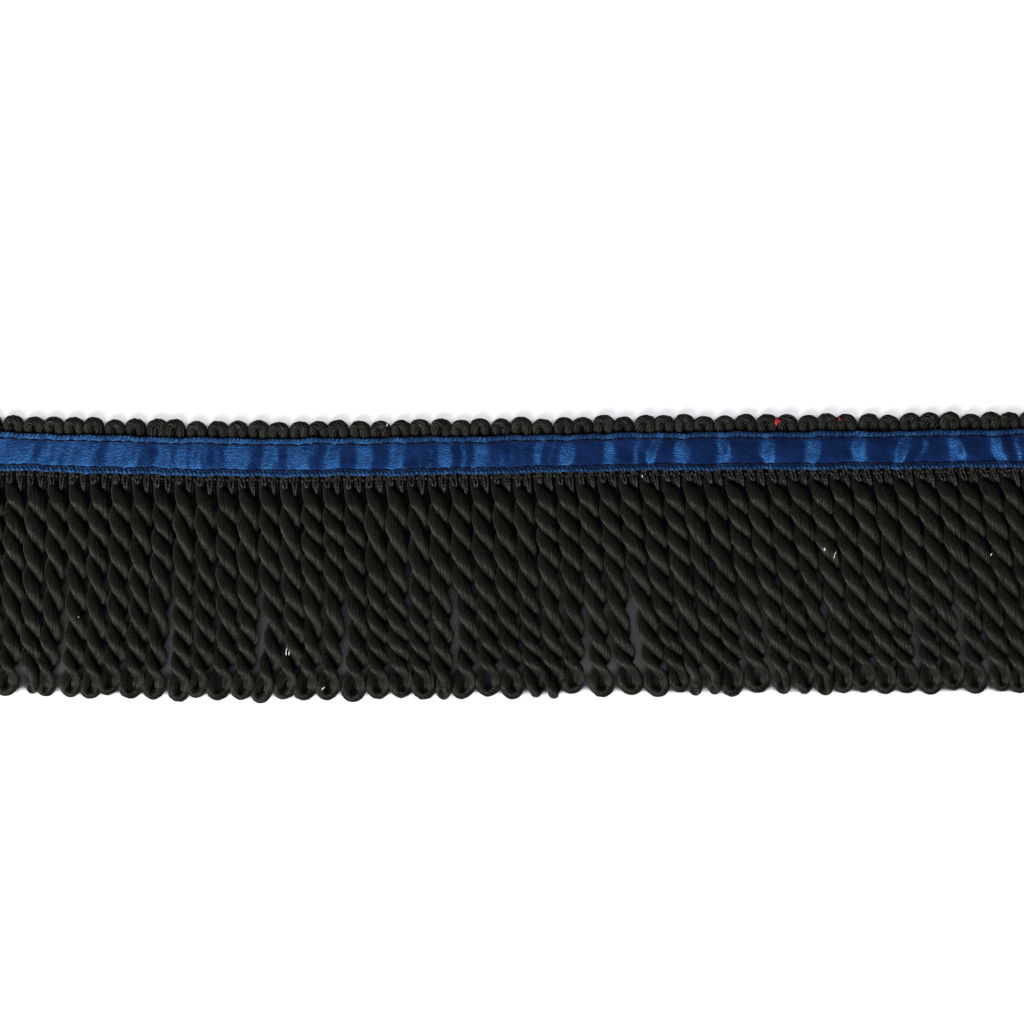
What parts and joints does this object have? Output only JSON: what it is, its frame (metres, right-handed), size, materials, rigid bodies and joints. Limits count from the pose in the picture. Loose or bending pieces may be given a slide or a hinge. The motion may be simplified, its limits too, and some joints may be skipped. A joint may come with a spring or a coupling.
{
  "type": "bullion fringe trim",
  "caption": "Cut length of bullion fringe trim: a scalloped woven heading with a satin ribbon sewn along its face and a skirt of twisted looped cords.",
  "frame": {"origin": "on the back of the heading, under the middle of the ribbon, halfway along the length", "axes": "+X along the trim, +Y up its face towards the scallops, +Z out of its face and up from the surface it lies on"},
  "size_m": [0.3019, 0.0775, 0.0051],
  "materials": {
    "black_yarn": "soft lustre of plied filament yarn",
    "black_gimp": "dull soft thread",
    "blue_satin": "satin weave, glossy along the floats"
  },
  "bodies": {
    "root": {"heading_tape": "black_yarn", "scallop_edge": "black_gimp", "satin_ribbon": "blue_satin", "bullion_fringe": "black_yarn"}
  },
  "joints": []
}
